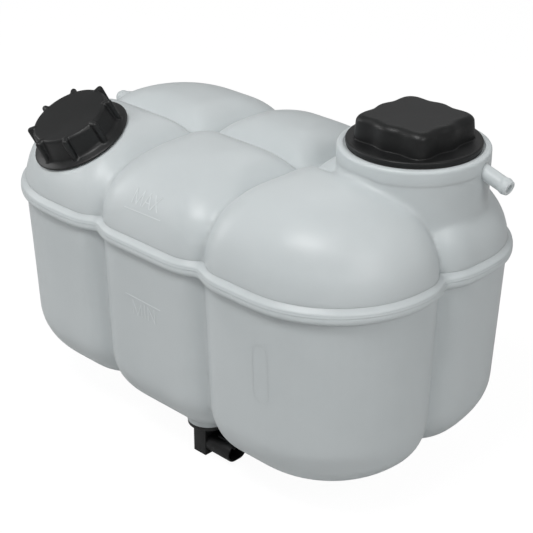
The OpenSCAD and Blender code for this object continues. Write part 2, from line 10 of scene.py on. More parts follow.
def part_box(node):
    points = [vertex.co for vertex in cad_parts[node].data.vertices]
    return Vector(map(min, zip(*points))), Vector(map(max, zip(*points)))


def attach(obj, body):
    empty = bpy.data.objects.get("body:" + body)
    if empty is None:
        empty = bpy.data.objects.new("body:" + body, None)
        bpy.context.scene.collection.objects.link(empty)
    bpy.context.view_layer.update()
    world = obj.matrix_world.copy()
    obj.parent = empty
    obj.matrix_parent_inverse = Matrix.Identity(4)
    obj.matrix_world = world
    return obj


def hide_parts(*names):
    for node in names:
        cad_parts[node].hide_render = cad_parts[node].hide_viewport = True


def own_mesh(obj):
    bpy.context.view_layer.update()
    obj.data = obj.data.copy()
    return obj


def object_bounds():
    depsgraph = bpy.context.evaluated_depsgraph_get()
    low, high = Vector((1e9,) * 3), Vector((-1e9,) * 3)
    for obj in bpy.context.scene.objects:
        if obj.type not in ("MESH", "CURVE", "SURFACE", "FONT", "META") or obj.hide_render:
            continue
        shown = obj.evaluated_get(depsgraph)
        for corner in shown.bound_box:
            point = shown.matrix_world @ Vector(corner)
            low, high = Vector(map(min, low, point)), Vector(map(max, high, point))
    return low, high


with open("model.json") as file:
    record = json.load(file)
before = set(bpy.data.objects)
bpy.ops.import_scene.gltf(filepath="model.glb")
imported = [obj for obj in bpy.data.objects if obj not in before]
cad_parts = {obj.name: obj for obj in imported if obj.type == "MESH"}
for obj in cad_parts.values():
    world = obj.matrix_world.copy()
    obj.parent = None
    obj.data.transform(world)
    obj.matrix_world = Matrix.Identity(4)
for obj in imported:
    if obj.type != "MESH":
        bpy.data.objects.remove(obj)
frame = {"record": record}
cad_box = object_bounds()

# Sizes are in millimetres; a piece is scaled to metres when it is made.
MM = 0.001
SEAM = 167.0  # height of the weld line
TANK_L, TANK_D = 414.0, 238.0
MID_W = 118.0  # width of the middle chambers
DOME_H, DOME_STEP = 66.0, 2.5  # height over the weld line, and its rise from column to column
BASE_H, BASE_STEP = 164.0, 2.8  # the same below the weld line
BACK_RIGHT_LIFT = 4  # the back right chamber is this much shallower
BACK_DROP = (4, 2, 0)  # how much lower the back row's domes are
LAP, GROOVE_STEP = 8.0, 2.5  # how far chambers overlap, and how far their grooves are out of line
WALL = 3.5
DRAFT = 0.035
FOOT_H, FOOT_IN, FOOT_IN_GROOVE = 50, (67, 59, 56), 30  # the rounded foot's height and reach
DOME_POWER, DOME_IN = 2.3, (85, 85, 80, 80)  # how square the dome is, and its reach by side
GROOVE_H, GROOVE_IN = 50, (48, 48, 40, 40)  # the same where a dome falls into a groove
END_R, GROOVE_R, CROSS_R = 86.0, 33.0, 14.0  # corners with two, one and no outer sides
END_R_MORE = {(0, 0): 6, (2, 1): -12}  # added for the chambers in these columns and rows

NECK = Vector((138.0, 36.0, 251.0))
NECK_R = 58.5
FILLER = Vector((-122.0, -76.5, 217.0))
FILLER_TURN = Matrix.Rotation(math.radians(-13), 4, "Z") @ Matrix.Rotation(math.radians(27), 4, "X")
AT_NECK = Matrix.Translation(NECK)
AT_FILLER = Matrix.Translation(FILLER) @ FILLER_TURN
AT_SENSOR = Matrix.Translation((25.0, -75.0, 0.0))


# ---------- materials ----------

class Value:
    """A shader value that takes part in Python sums."""

    def __init__(self, made, socket):
        self.made = made
        self.socket = socket

    def maths(self, operation, *values):
        made = self.made.node("ShaderNodeMath", {"operation": operation}, dict(enumerate(values)))
        return Value(self.made, made.outputs[0])

    def __radd__(self, other):
        return self.maths("ADD", other, self)

    def __mul__(self, other):
        return self.maths("MULTIPLY", self, other)

    def between(self, low, high):
        """0 below low, 1 above high, smooth on the way."""
        ramp = self.made.node("ShaderNodeMapRange", {"interpolation_type": "SMOOTHSTEP"},
                              {"Value": self, "From Min": low, "From Max": high})
        return Value(self.made, ramp.outputs[0])


class Finish:
    """A material under construction."""

    MIX_FACTOR, MIX_A, MIX_B, MIX_RESULT = 0, 6, 7, 2  # the colour sockets of a mix node

    def __init__(self, name):
        self.material = bpy.data.materials.new(name)
        self.material.use_nodes = True
        self.tree = self.material.node_tree
        self.shader = self.tree.nodes["Principled BSDF"]

    def node(self, kind, settings=None, sockets=None):
        made = self.tree.nodes.new(kind)
        for key, value in (settings or {}).items():
            setattr(made, key, value)
        for key, value in (sockets or {}).items():
            self.feed(made.inputs[key], value)
        return made

    def feed(self, socket, value):
        if isinstance(value, Value):
            self.tree.links.new(value.socket, socket)
        elif hasattr(value, "links"):
            self.tree.links.new(value, socket)
        else:
            socket.default_value = value

    def set(self, **sockets):
        for key, value in sockets.items():
            self.feed(self.shader.inputs[key.replace("_", " ")], value)

    def grain(self, scale, detail=2.0):
        spot = self.node("ShaderNodeTexCoord").outputs["Object"]
        noise = self.node("ShaderNodeTexNoise", None,
                          {"Vector": spot, "Scale": scale, "Detail": detail, "Roughness": 0.5})
        return Value(self, noise.outputs[0])

    def mix(self, amount, a, b):
        made = self.node("ShaderNodeMix", {"data_type": "RGBA"},
                         {self.MIX_FACTOR: amount, self.MIX_A: a, self.MIX_B: b})
        return made.outputs[self.MIX_RESULT]

    def bump(self, height, distance):
        made = self.node("ShaderNodeBump", None,
                         {"Height": height, "Distance": distance, "Strength": 1.0})
        self.set(Normal=made.outputs[0])


def rgb(red, green, blue):
    return red, green, blue, 1


def tank_plastic(name="tank_plastic", painted_lift=0.0, depth=0.45):
    """Milky moulded plastic; its second argument paints a highlight by making it paler, and depth
    lets more light into it.
    """
    f = Finish(name)
    cloud = f.grain(9.0, 3.0)
    fine = f.grain(900.0)
    f.set(Base_Color=f.mix(cloud.between(0.35, 0.65),
                           rgb(0.570 + painted_lift, 0.612 + painted_lift, 0.622 + painted_lift),
                           rgb(0.600 + painted_lift, 0.642 + painted_lift, 0.652 + painted_lift)),
          Roughness=0.36 + cloud * 0.06, Specular_IOR_Level=0.45, Subsurface_Weight=depth,
          Subsurface_Scale=0.009, Subsurface_Radius=(1.0, 1.0, 1.0))
    f.bump(fine, 0.00004)
    return f.material


def cap_plastic():
    f = Finish("cap_plastic")
    pebble = f.grain(1500.0, 3.0)
    wear = f.grain(40.0, 4.0)
    f.set(Base_Color=f.mix(wear.between(0.4, 0.7), rgb(0.0075, 0.008, 0.0082),
                           rgb(0.0105, 0.011, 0.0114)),
          Roughness=0.38 + wear * 0.10, Specular_IOR_Level=0.4)
    f.bump(pebble, 0.00006)
    return f.material


def mottled(name, grain, colours, rough, spread=0.0, relief=0.0, **more):
    """A finish whose colour, and where asked its gloss and relief, follow one fine noise."""
    f = Finish(name)
    speck = f.grain(*grain)
    f.set(Base_Color=f.mix(speck, *(rgb(*colour) for colour in colours)),
          Roughness=rough + speck * spread if spread else rough, **more)
    if relief:
        f.bump(speck, relief)
    return f.material


def metal(name, colour, rough):
    return mottled(name, (700.0, 3.0), (colour, [part * 0.85 for part in colour]), rough, 0.15,
                   0.00003, Metallic=1.0)


def reed_glass():
    f = Finish("reed_glass")
    f.set(Base_Color=rgb(0.75, 0.9, 0.85), Roughness=0.05 + f.grain(300.0) * 0.03,
          Transmission_Weight=0.9, IOR=1.5)
    return f.material


FINISHES = {
    "tank_plastic": tank_plastic(),
    "cap_plastic": cap_plastic(),
    "insert_plastic": mottled("insert_plastic", (1200.0, 2.0),
                              ((0.05, 0.05, 0.054), (0.075, 0.075, 0.08)), 0.5, relief=0.00005),
    "seal_rubber": mottled("seal_rubber", (220.0, 4.0),
                           ((0.012, 0.012, 0.012), (0.03, 0.03, 0.03)), 0.62, 0.15, 0.0001),
    "spring_steel": metal("spring_steel", (0.55, 0.56, 0.57), 0.22),
    "plate_metal": metal("plate_metal", (0.66, 0.66, 0.64), 0.3),
    "brass": metal("brass", (0.72, 0.52, 0.22), 0.25),
    "float_plastic": mottled("float_plastic", (600.0, 3.0),
                             ((0.55, 0.50, 0.38), (0.66, 0.61, 0.48)), 0.7, relief=0.00015),
    "magnet": mottled("magnet", (900.0, 3.0),
                      ((0.03, 0.03, 0.032), (0.06, 0.06, 0.062)), 0.6, 0.1),
    "reed_glass": reed_glass(),
}


# ---------- making pieces ----------

def mesh_of(name, bm):
    """The bmesh as a mesh; the bmesh is freed."""
    mesh = bpy.data.meshes.new(name)
    bm.to_mesh(mesh)
    bm.free()
    return mesh


def add_object(name, data):
    made = bpy.data.objects.new(name, data)
    bpy.context.scene.collection.objects.link(made)
    return made


def shade(mesh, smooth):
    """Smooth shading, with edges that turn by more than smooth degrees kept sharp."""
    mesh.shade_smooth()
    mesh.set_sharp_from_angle(angle=math.radians(smooth))


def piece(name, bm, finish, body, place=None, smooth=35.0):
    """A bmesh in millimetres becomes an object in metres that rides on a body."""
    if place is not None:
        bmesh.ops.transform(bm, matrix=place, verts=bm.verts)
    bmesh.ops.scale(bm, vec=(MM, MM, MM), verts=bm.verts)
    bmesh.ops.remove_doubles(bm, verts=bm.verts, dist=1e-7)
    made = add_object(name, mesh_of(name, bm))
    made.data.materials.append(FINISHES[finish])
    shade(made.data, smooth)
    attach(made, body)
    return made


def turned(profile, steps=96, closed=True):
    """Spin a profile of (radius, height) points about Z; a closed one makes a ring."""
    bm = bmesh.new()
    points = [bm.verts.new((r, 0, z)) for r, z in profile]
    edges = [bm.edges.new(pair) for pair in zip(points, points[1:])]
    if closed:
        edges.append(bm.edges.new((points[-1], points[0])))
    bmesh.ops.spin(bm, geom=points + edges, cent=(0, 0, 0), axis=(0, 0, 1), angle=math.tau,
                   steps=steps, use_merge=True)
    bmesh.ops.remove_doubles(bm, verts=bm.verts, dist=1e-4)
    bmesh.ops.recalc_face_normals(bm, faces=bm.faces)
    return bm


def rounded(profile, radii, steps=4):
    """Replace the corners of a profile by arcs; a radius of 0 leaves a corner sharp."""
    out = []
    n = len(profile)
    for i, (point, radius) in enumerate(zip(profile, radii)):
        p = Vector(point)
        if radius <= 0:
            out.append(tuple(p))
            continue
        a, b = Vector(profile[i - 1]) - p, Vector(profile[(i + 1) % n]) - p
        turn = a.angle(b)
        cut = min(radius / math.tan(turn / 2), a.length * 0.49, b.length * 0.49)
        start, end = p + a.normalized() * cut, p + b.normalized() * cut
        for k in range(steps + 1):
            t = k / steps
            out.append(tuple(start.lerp(p, t).lerp(p.lerp(end, t), t)))
    return out


def add_ring(bm, points, cap_ends=False, cap_tris=False):
    """A closed ring through the points, added to bm; gives its edges.

    It can be closed by one face, or with cap_tris by a fan about its middle.
    """
    made = bmesh.ops.create_circle(bm, cap_ends=cap_ends, cap_tris=cap_tris, radius=1,
                                   segments=len(points))["verts"]
    rim = [v for v in made if v.co.length > 0.5]
    for vert, point in zip(rim, points):
        vert.co = point
    on_rim = set(rim)
    for vert in set(made) - on_rim:
        vert.co = sum(points, Vector()) / len(points)
    return [e for e in {e for v in rim for e in v.link_edges} if all(v in on_rim for v in e.verts)]


def ringed(rings, gap=None):
    """A closed piece from rings of equally many points, joined in order and back to the first.

    At a gap the ring before it and the ring at it are closed by fans instead of being joined.
    """
    bm = bmesh.new()
    loops = []
    for i, points in enumerate(rings):
        capped = gap is not None and i in (gap - 1, gap)
        loops.append(add_ring(bm, points, cap_ends=capped, cap_tris=capped))
    for i in range(len(loops)):
        if i != gap:
            bmesh.ops.bridge_loops(bm, edges=loops[i - 1] + loops[i])
    bmesh.ops.recalc_face_normals(bm, faces=bm.faces)
    return bm


def add_part(bm, part, place):
    """Another bmesh, moved to its place, goes into bm."""
    bmesh.ops.transform(part, matrix=place, verts=part.verts)
    mesh = mesh_of("part", part)
    bm.from_mesh(mesh)
    bpy.data.meshes.remove(mesh)


def add_box(bm, low, high, round_by, place=None):
    """A box between two corners with rounded edges, added to bm."""
    low, high = Vector(low), Vector(high)
    verts = bmesh.ops.create_cube(bm, size=1)["verts"]
    bmesh.ops.scale(bm, vec=high - low, verts=verts)
    bmesh.ops.translate(bm, vec=(low + high) / 2, verts=verts)
    edges = list({e for v in verts for e in v.link_edges})
    out = bmesh.ops.bevel(bm, geom=verts + edges, offset=round_by, offset_type="OFFSET", segments=3,
                          profile=0.5, affect="EDGES", material=-1)
    if place is not None:
        made = {v for v in verts if v.is_valid} | {v for f in out["faces"] for v in f.verts}
        bmesh.ops.transform(bm, matrix=place, verts=list(made))


def melted(bm, voxel, passes):
    """The mesh of one skin over overlapping solids, with soft inner corners."""
    solids = mesh_of("melted", bm)
    lump = add_object("melted", solids)
    remesh = lump.modifiers.new("melt", "REMESH")
    remesh.mode = "VOXEL"
    remesh.voxel_size = voxel
    soften = lump.modifiers.new("soften", "SMOOTH")
    soften.factor = 0.5
    soften.iterations = passes
    graph = bpy.context.evaluated_depsgraph_get()
    skin = bpy.data.meshes.new_from_object(lump.evaluated_get(graph))
    bpy.data.objects.remove(lump)
    bpy.data.meshes.remove(solids)
    return skin


# ---------- tank halves ----------

def is_outer(col, row, side):
    """Whether a chamber's side (0 left, 1 right, 2 front, 3 back) lies on the tank's outside."""
    return (side, (col, col, row, row)[side]) in ((0, 0), (1, 2), (2, 0), (3, 1))


def chamber_sides(col, row):
    across = GROOVE_STEP if row else 0.0
    along = GROOVE_STEP if col == 1 else 0.0
    grooves = (-TANK_L / 2, -MID_W / 2, MID_W / 2, TANK_L / 2)
    x0 = grooves[col] + (across - LAP if col > 0 else 0.0)
    x1 = grooves[col + 1] + (across + LAP if col < 2 else 0.0)
    y0 = -TANK_D / 2 if row == 0 else along - LAP
    y1 = along + LAP if row == 0 else TANK_D / 2
    return x0, x1, y0, y1


def corner_radius(col, row, corner):
    """Corners are counted from the front left, anticlockwise from above."""
    outer = (is_outer(col, row, 0 if corner in (0, 3) else 1)
             + is_outer(col, row, 2 if corner < 2 else 3))
    return (CROSS_R, GROOVE_R, END_R + END_R_MORE.get((col, row), 0))[outer]


def outline(col, row, z, inset, steps=14):
    """The chamber's rounded outline at height z, its four sides moved in by inset."""
    x0, x1, y0, y1 = chamber_sides(col, row)
    x0, x1, y0, y1 = x0 + inset[0], x1 - inset[1], y0 + inset[2], y1 - inset[3]
    r = [corner_radius(col, row, q) for q in range(4)]
    w, d = x1 - x0, y1 - y0
    k = 0.995 * min(1, w / (r[0] + r[1]), w / (r[2] + r[3]), d / (r[1] + r[2]), d / (r[0] + r[3]))
    points = []
    for q in range(4):
        cx = x0 + r[q] * k if q in (0, 3) else x1 - r[q] * k
        cy = y0 + r[q] * k if q < 2 else y1 - r[q] * k
        for j in range(steps + 1):
            f = math.radians(180 + 90 * q + 90 * j / steps)
            points.append(Vector((cx + r[q] * k * math.cos(f), cy + r[q] * k * math.sin(f), z)))
    return points


def over(u, reach):
    """How far a dome's side has come in at the share u of its height."""
    return reach * (1 - (1 - min(u, 1.0) ** DOME_POWER) ** (1 / DOME_POWER))


def quarter(u, reach):
    """The same along a quarter of an ellipse."""
    return reach * (1 - math.sqrt(1 - max(0.0, min(u, 1.0)) ** 2))


def arc_heights(height, steps):
    """Heights that lie evenly along a quarter turn."""
    return [height * math.sin(math.radians(90 * j / steps)) for j in range(steps + 1)]


def chamber_levels(col, row):
    """The heights of a chamber's outlines from foot to crown, each with its sides' insets."""
    outer = [is_outer(col, row, side) for side in range(4)]
    lifted = BACK_RIGHT_LIFT if (col, row) == (2, 1) else 0
    straight = BASE_H + BASE_STEP * (col - 1) - lifted - FOOT_H
    levels = []
    for rise in reversed(arc_heights(FOOT_H, 16)):
        z = straight + rise
        u = (z - straight) / FOOT_H
        levels.append((SEAM - z, [DRAFT * straight + quarter(u, FOOT_IN[col]) if out
                                  else quarter(u, FOOT_IN_GROOVE) for out in outer]))
    for z in (straight * 0.66, straight * 0.33):
        levels.append((SEAM - z, [DRAFT * z if out else 0 for out in outer]))
    h = DOME_H + DOME_STEP * (col - 1) - row * BACK_DROP[col]
    for z in arc_heights(h, 24):
        levels.append((SEAM + z, [over(z / h, dome) if out
                                  else quarter((z - h + GROOVE_H) / GROOVE_H, groove)
                                  for out, dome, groove in zip(outer, DOME_IN, GROOVE_IN)]))
    return levels


def add_chamber(bm, col, row):
    last = None
    for z, inset in chamber_levels(col, row):
        edges = add_ring(bm, outline(col, row, z, inset), cap_ends=last is None)
        if last is not None:
            bmesh.ops.bridge_loops(bm, edges=last + edges)
        last = edges
    bmesh.ops.contextual_create(bm, geom=last)


def moulded_body(voxel, passes):
    """All chambers, the valve neck and the filler collar run together, with soft grooves."""
    bm = bmesh.new()
    for col in range(3):
        for row in range(2):
            add_chamber(bm, col, row)
    neck = [(0, -60), (NECK_R, -60), (NECK_R, -3), (0, -3)]
    collar = [(0, -26), (52, -26), (45, -14), (39, -6), (34, -3), (0, -3)]
    add_part(bm, turned(neck, closed=False), AT_NECK)
    add_part(bm, turned(collar, closed=False), AT_FILLER)
    bmesh.ops.recalc_face_normals(bm, faces=bm.faces)
    return melted(bm, voxel, passes)


def half(mesh, upper):
    bm = bmesh.new()
    bm.from_mesh(mesh)
    geom = bm.verts[:] + bm.edges[:] + bm.faces[:]
    bmesh.ops.bisect_plane(bm, geom=geom, dist=1e-4, plane_co=(0, 0, SEAM), plane_no=(0, 0, 1),
                           clear_inner=upper, clear_outer=not upper)
    return bm


def seat_filler(bm):
    """The dome is pressed down where it would rise above the seat of the ribbed cap."""
    seat_z, seat_r, reach = -2.0, 42.5, 62
    to_filler = AT_FILLER.inverted()
    for vert in bm.verts:
        at = to_filler @ vert.co
        highest = seat_z + 0.55 * max(0.0, at.xy.length - seat_r) ** 1.15
        if at.xy.length < reach and at.z > highest:
            at.z = highest
            vert.co = AT_FILLER @ at


def open_necks(bm):
    """Cut the closed tops off the two necks."""
    neck_bore, neck_depth = NECK_R - 3.5, 14
    filler_bore, filler_depth = 27, 12
    to_filler = AT_FILLER.inverted()
    gone = []
    for face in bm.faces:
        centre = face.calc_center_median()
        in_neck = (centre - NECK).xy.length < neck_bore and centre.z > NECK.z - neck_depth
        tilted = to_filler @ centre
        in_filler = tilted.xy.length < filler_bore and tilted.z > -filler_depth
        if in_neck or in_filler:
            gone.append(face)
    bmesh.ops.delete(bm, geom=gone, context="FACES")


def thicken(bm, depth):
    bmesh.ops.recalc_face_normals(bm, faces=bm.faces)
    bmesh.ops.solidify(bm, geom=bm.faces[:], thickness=depth)


def eased(points):
    """A closed run of points, each drawn towards its two neighbours."""
    count = len(points)
    return [(points[i - 1] + points[i] * 2 + points[(i + 1) % count]) / 4 for i in range(count)]


def weld_loop(bm, count=520):
    """The half's outline at the weld line as an even closed run of count points."""
    edges = [e for e in bm.edges
             if e.is_boundary and all(abs(v.co.z - SEAM) < 0.01 for v in e.verts)]
    step = {}
    for e in edges:
        for a, b in (tuple(e.verts), tuple(reversed(e.verts))):
            step.setdefault(a, []).append(b)
    start = max(step, key=lambda v: v.co.x)
    run, here, before = [start], start, None
    while True:
        ahead = [v for v in step[here] if v is not before]
        if not ahead or ahead[0] is start or len(run) > len(step):
            break
        before, here = here, ahead[0]
        run.append(here)
    points = [v.co.copy() for v in run]
    if sum(a.x * b.y - b.x * a.y for a, b in zip(points, points[1:] + points[:1])) < 0:
        points.reverse()
    total = [0.0]
    for a, b in zip(points, points[1:] + points[:1]):
        total.append(total[-1] + (b - a).length)
    even, k = [], 0
    for i in range(count):
        want = total[-1] * i / count
        while total[k + 1] < want:
            k += 1
        a, b = points[k], points[(k + 1) % len(points)]
        even.append(a.lerp(b, (want - total[k]) / max(total[k + 1] - total[k], 1e-9)))
    for _ in range(3):
        even = eased(even)
    return even


def weld_bead(loop):
    """Flange of both halves along the outline, with a fine groove; its section is (out, up)."""
    profile = [(-1.5, 7.6), (0.0, 7.0), (0.8, 6.2), (1.9, 5.2), (3.1, 4.3), (3.9, 3.3), (4.1, 2.7),
               (4.0, 2.3), (4.3, 1.9), (4.5, 1.2), (4.4, 0.7), (4.2, 0.4), (4.4, 0.0), (4.6, -0.8),
               (4.5, -2.4), (4.2, -3.4), (3.5, -4.2), (2.6, -4.8), (1.6, -5.3), (0.7, -6.0),
               (-1.5, -7.4), (-2.4, 0.0)]
    normals = []
    for i in range(len(loop)):
        run = loop[(i + 1) % len(loop)] - loop[i - 1]
        normals.append(Vector((run.y, -run.x, 0)).normalized())
    rings = []
    for out, up in profile:
        points = [p + n * out + Vector((0, 0, up)) for p, n in zip(loop, normals)]
        for _ in range(int(max(out, 0) * 3)):
            points = eased(points)
        rings.append(points)
    return ringed(rings)


body_mesh = moulded_body(2.65, 4)
upper = half(body_mesh, True)
outline_loop = weld_loop(upper)
seat_filler(upper)
open_necks(upper)
thicken(upper, WALL)
tank_upper = piece("tank_upper", upper, "tank_plastic", "tank", smooth=60)
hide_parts("upper_shell")
lower = half(body_mesh, False)
thicken(lower, WALL)
tank_lower = piece("tank_lower", lower, "tank_plastic", "tank", smooth=60)
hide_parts("lower_shell")
piece("weld_flange", weld_bead(outline_loop), "tank_plastic", "tank", smooth=60)


# ---------- necks, hose ends and bosses ----------

def tube(bore, r, low, high, radii, steps):
    """A short tube; radii round its corners from the bore's foot outwards and up."""
    return turned(rounded([(bore, low), (r, low), (r, high), (bore, high)], radii), steps)


def hose_end(length, r, bore, bead):
    """A hose end along +X, open at its tip, with a rounded retaining bead."""
    along = [(bore, 0), (r, 0), (r, length - 7), (r + bead, length - 4.4),
             (r + bead, length - 3.4), (r - 0.3, length), (bore, length)]
    bm = turned(rounded(along, [0, 0, 1.5, 0.8, 0.8, 0.5, 0.4]), 48)
    bmesh.ops.rotate(bm, cent=(0, 0, 0), matrix=Matrix.Rotation(math.pi / 2, 3, "Y"),
                     verts=bm.verts)
    return bm


NECK_OUT = NECK_R + 0.05  # the rim stands just clear of the moulded neck
neck_profile = rounded(
    [(NECK_R - 4.4, -12), (NECK_OUT, -12), (NECK_OUT, 0), (53.3, 0), (53.3, -1), (47, -1),
     (47, -32), (39.5, -36), (39.5, -47), (43.5, -47), (43.5, -38), (51, -33), (51, -4.5),
     (NECK_R - 4.4, -4.5)],
    [0, 0, 3.6, 0.6, 0.2, 0.5, 2, 2, 0.5, 0.5, 2, 2, 0.5, 0.5])
piece("neck_rim", turned(neck_profile, 128), "tank_plastic", "tank", AT_NECK)
piece("filler_tube", tube(25.5, 29.5, -7, 15, [0, 0, 1.0, 0.6], 96), "tank_plastic", "tank",
      AT_FILLER)
for name, spot, turn, sizes in (
        ("left_nipple", (-193, 60, SEAM + 28.7), math.radians(180 - 12), (42, 6, 3.2, 0.6)),
        ("right_nipple", (186, 50, 242), math.radians(16.5), (33, 6, 3.2, 0.6)),
        ("outlet_pipe", (-193, 60, 37), math.pi, (46, 10, 7.5, 0.9))):
    piece(name, hose_end(*sizes), "tank_plastic", "tank",
          Matrix.Translation(spot) @ Matrix.Rotation(turn, 4, "Y"))
for i, (x, y) in enumerate(((-120, -50), (120, -50), (120, 50), (-120, 50))):
    piece("base_boss_%d" % i, tube(6.4, 11, 0, 24, [0.4, 0.8, 0.6, 0.3], 48), "tank_plastic",
          "tank", Matrix.Translation((x, y, 0)))
piece("sensor_seat", tube(14.5, 18, 9, 25, [0.4, 0.8, 0.6, 0.3], 64), "tank_plastic", "tank",
      AT_SENSOR)


# ---------- caps ----------

GRIP_HALF, GRIP_Z, GRIP_TOP = 37.0, 3.9, 23.0
GRIP_ROUND = 6  # how far down the grip's top edge is rounded
RIBS = 8


def grip_radius(f, half_width):
    """The grip's outline: a square with round corners and a wave of eight lobes."""
    a, b = abs(math.cos(f)) ** 5, abs(math.sin(f)) ** 5
    return half_width * (a + b) ** -0.2 * 0.965 + 1.3 * math.cos(8 * f) - 0.5


def valve_cap(steps=176):
    """Skirt, flange and wavy grip, from the skirt's inner foot round the outside and back in."""
    turns = [math.tau * i / steps for i in range(steps)]

    def circle(r, z):
        return [Vector((r * math.cos(f), r * math.sin(f), z)) for f in turns]

    def wave(half_width, z):
        return [Vector((grip_radius(f, half_width) * math.cos(f),
                        grip_radius(f, half_width) * math.sin(f), z)) for f in turns]

    skirt_and_flange = [
        (43, -26.2), (43.3, -26.5), (46.0, -26.5), (46.4, -26.1), (46.4, 0.5), (51.4, 0.5),
        (51.8, 0.8), (52, 1.4), (52, 2.9), (51.9, 3.4), (51.6, 3.8), (51.1, 4.1), (50.4, 4.2),
        (49.6, 4.1)]
    outside = [circle(r, z) for r, z in skirt_and_flange]
    for i in range(6):
        u = math.radians(90 * i / 5)
        outside.append(wave(GRIP_HALF + 1.6 - 0.8 * math.sin(u), GRIP_Z + 0.9 * (1 - math.cos(u))))
    for t in (0.25, 0.5, 0.75):
        outside.append(wave(GRIP_HALF + 0.8 - 1.0 * t,
                            (GRIP_Z + 0.9) * (1 - t) + (GRIP_TOP - GRIP_ROUND) * t))
    for i in range(10):
        u = math.radians(90 * i / 9)
        outside.append(wave(GRIP_HALF - 0.2 - 6.4 * (1 - math.cos(u)),
                            GRIP_TOP - GRIP_ROUND + GRIP_ROUND * math.sin(u)))
    hollow = [(31.6, GRIP_TOP - 5), (32, GRIP_TOP - 5.6), (32, 0.9), (32.4, 0.5), (42.6, 0.5),
              (43, 0.1)]
    return ringed(outside + [circle(r, z) for r, z in hollow], gap=len(outside))


def filler_cap():
    """Flared thin flange, round body and rounded ribs run together."""
    outside = rounded(
        [(31, -1), (42.0, -1), (42.3, -0.2), (41.9, 0.7), (36.4, 3.0), (34.8, 5.0), (33.4, 20),
         (31.6, 22), (0, 22)],
        [0, 0.4, 0.4, 0.5, 1.2, 2.0, 1.4, 1.4, 0])
    inside = [(0, 19.2), (31, 19.2)]
    bm = turned(outside + inside, 160, closed=False)
    bmesh.ops.bridge_loops(bm, edges=[e for e in bm.edges if e.is_boundary])
    for i in range(RIBS):
        add_box(bm, (28.8, -2.6, 0.3), (38.3, 2.6, 22.6), 2.3,
                Matrix.Rotation(math.radians(360 / RIBS * i + 10), 4, "Z"))
    bmesh.ops.recalc_face_normals(bm, faces=bm.faces)
    skin = melted(bm, 0.62, 3)
    out = bmesh.new()
    out.from_mesh(skin)
    bpy.data.meshes.remove(skin)
    return out


valve_grip = piece("valve_grip", valve_cap(), "cap_plastic", "valve_cap_group", AT_NECK, smooth=50)
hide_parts("valve_cap")
filler_grip = piece("filler_grip", filler_cap(), "cap_plastic", "filler_cap_group", AT_FILLER,
                    smooth=60)
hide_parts("filler_cap")


# ---------- springs ----------

def coil(name, node, body, r, wire, turns):
    """A helical spring in place of a CAD one, as tall as that one, riding on the given body."""
    (_, _, low), (_, _, high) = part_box(node)
    low, high = low / MM, high / MM
    bm = bmesh.new()
    ring = bmesh.ops.create_circle(bm, cap_ends=False, radius=wire, segments=10)["verts"]
    bmesh.ops.rotate(bm, cent=(0, 0, 0), matrix=Matrix.Rotation(math.pi / 2, 3, "X"), verts=ring)
    bmesh.ops.translate(bm, vec=(r, 0, low + wire), verts=ring)
    steps = turns * 24
    bmesh.ops.spin(bm, geom=bm.verts[:] + bm.edges[:], cent=(0, 0, 0), axis=(0, 0, 1),
                   angle=math.tau * turns, dvec=(0, 0, (high - low - 2 * wire) / steps),
                   steps=steps)
    bmesh.ops.holes_fill(bm, edges=[e for e in bm.edges if e.is_boundary], sides=0)
    bmesh.ops.recalc_face_normals(bm, faces=bm.faces)
    made = piece(name, bm, "spring_steel", body, Matrix.Translation((NECK.x, NECK.y, 0)))
    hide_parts(node)
    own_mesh(made)


coil("pressure_coil", "pressure_spring", "insert_group", r=13, wire=0.8, turns=5)
coil("vacuum_coil", "vacuum_spring", "pressure_valve_group", r=3.6, wire=0.4, turns=5)


# ---------- level sensor ----------

FOOT_Z, BLOCK_Z = 5.5, -21.0
PLUG_Z = BLOCK_Z + 10.4


def oval(w, h, x, steps=48):
    """A flat-sided oval across the X axis at x."""
    points = []
    for i in range(steps):
        f = math.tau * i / steps
        y = (w - h) / 2 * (1 if math.cos(f) >= 0 else -1)
        points.append(Vector((x, y + h / 2 * math.cos(f), h / 2 * math.sin(f))))
    return points


def plug_shell():
    """The connector's oval shell, open towards +X."""
    return ringed([oval(21, 15.4, 6), oval(21, 15.4, 32.4), oval(20.6, 15.0, 32.9),
                   oval(18.4, 12.8, 33.0), oval(17.8, 12.2, 32.5), oval(17.8, 12.2, 16.5),
                   oval(9, 2, 16), oval(9, 2, 6)])


def sensor_solids():
    """The round foot, the block under it with its rear plate, the latch and the plug's shell."""
    foot = [(0, FOOT_Z), (17.5, FOOT_Z), (17.5, 9), (14, 9), (14, 14), (0, 14)]
    bm = turned(rounded(foot, [0, 0.6, 0.6, 0.2, 0.4, 0]), closed=False)
    add_box(bm, (-7.2, -11, BLOCK_Z), (6.8, 11, FOOT_Z + 1), 0.5)
    add_box(bm, (-8.5, -4, BLOCK_Z + 2), (-6, 4, BLOCK_Z + 16), 0.4)
    add_box(bm, (14, -3.5, BLOCK_Z + 17.6), (24, 3.5, BLOCK_Z + 19.8), 0.5)
    add_part(bm, plug_shell(), Matrix.Translation((0, 0, PLUG_Z)))
    return bm


sensor_case = piece("sensor_case", sensor_solids(), "cap_plastic", "tank", AT_SENSOR)
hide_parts("sensor_body")


# ---------- level marks ----------

